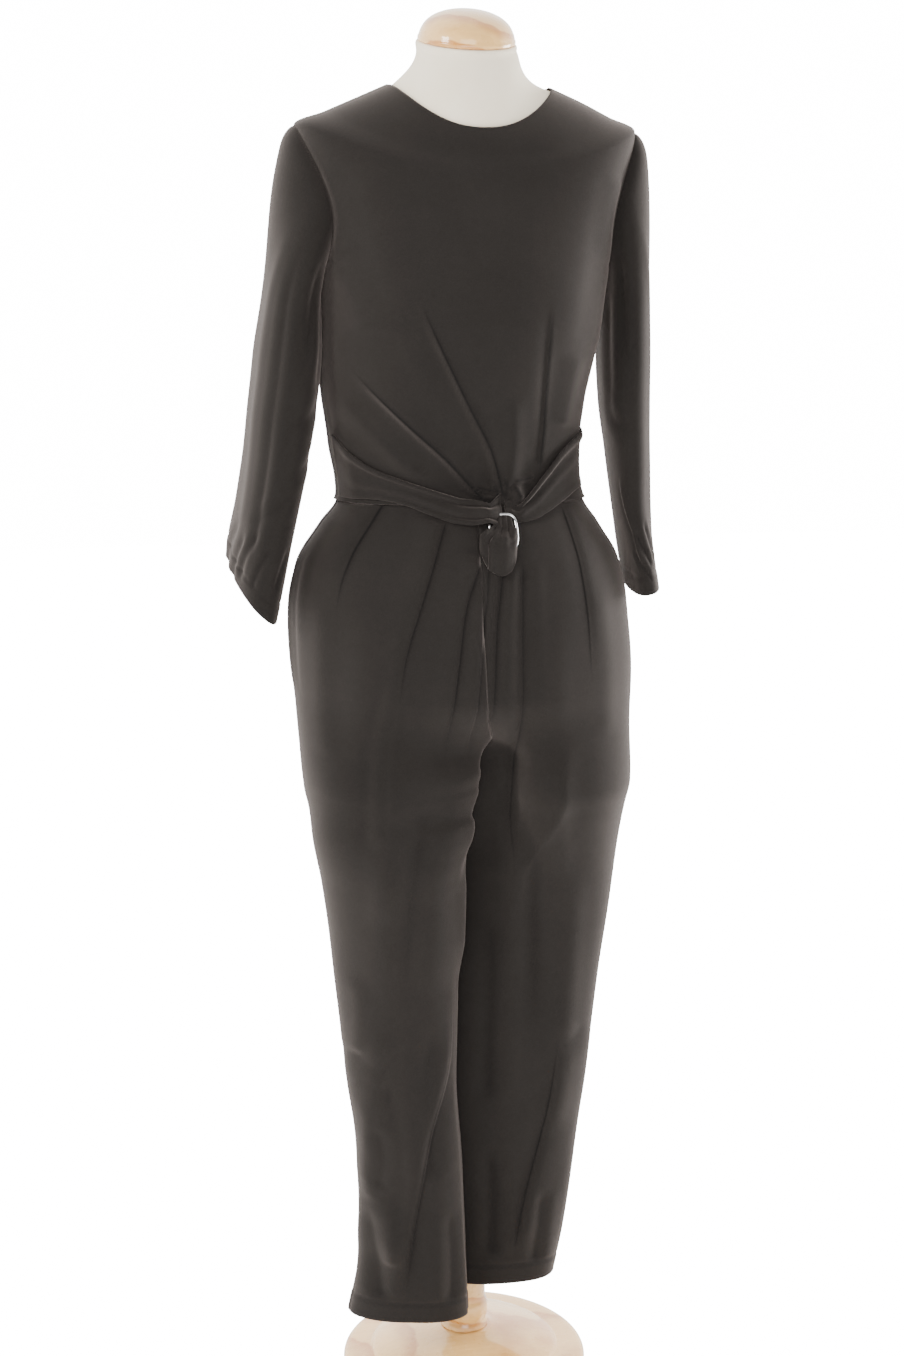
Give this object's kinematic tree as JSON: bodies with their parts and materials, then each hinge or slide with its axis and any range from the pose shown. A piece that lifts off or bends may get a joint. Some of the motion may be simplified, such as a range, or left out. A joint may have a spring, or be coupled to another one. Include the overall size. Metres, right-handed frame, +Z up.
{
  "type": "draped crepe jumpsuit on a limbless dress form",
  "caption": "Dark charcoal crepe jumpsuit with a high round neck, three-quarter sleeves, a draped front gathered into a metal ring and pleated tapered trousers, on a wooden dress form stand.",
  "frame": {"origin": "centre of the base's underside, on the floor", "axes": "+Z up; the garment faces -Y; +X is the wearer's left"},
  "size_m": [0.4882, 0.29, 1.5722],
  "materials": {
    "crepe": "matte crepe",
    "jersey": "fine cream jersey",
    "wood": "gloss varnish",
    "metal": "polished"
  },
  "bodies": {
    "root": {"bodice_front": "crepe", "bodice_back_left": "crepe", "bodice_back_right": "crepe", "sleeve_left": "crepe", "sleeve_right": "crepe", "trouser_front_left": "crepe", "trouser_front_right": "crepe", "trouser_back_left": "crepe", "trouser_back_right": "crepe", "belt_left": "crepe", "belt_right": "crepe", "belt_tail": "crepe", "belt_ring": "metal", "form_torso": "jersey", "neck_cap": "wood", "stand_pole": "wood", "stand_base": "wood"}
  },
  "joints": []
}
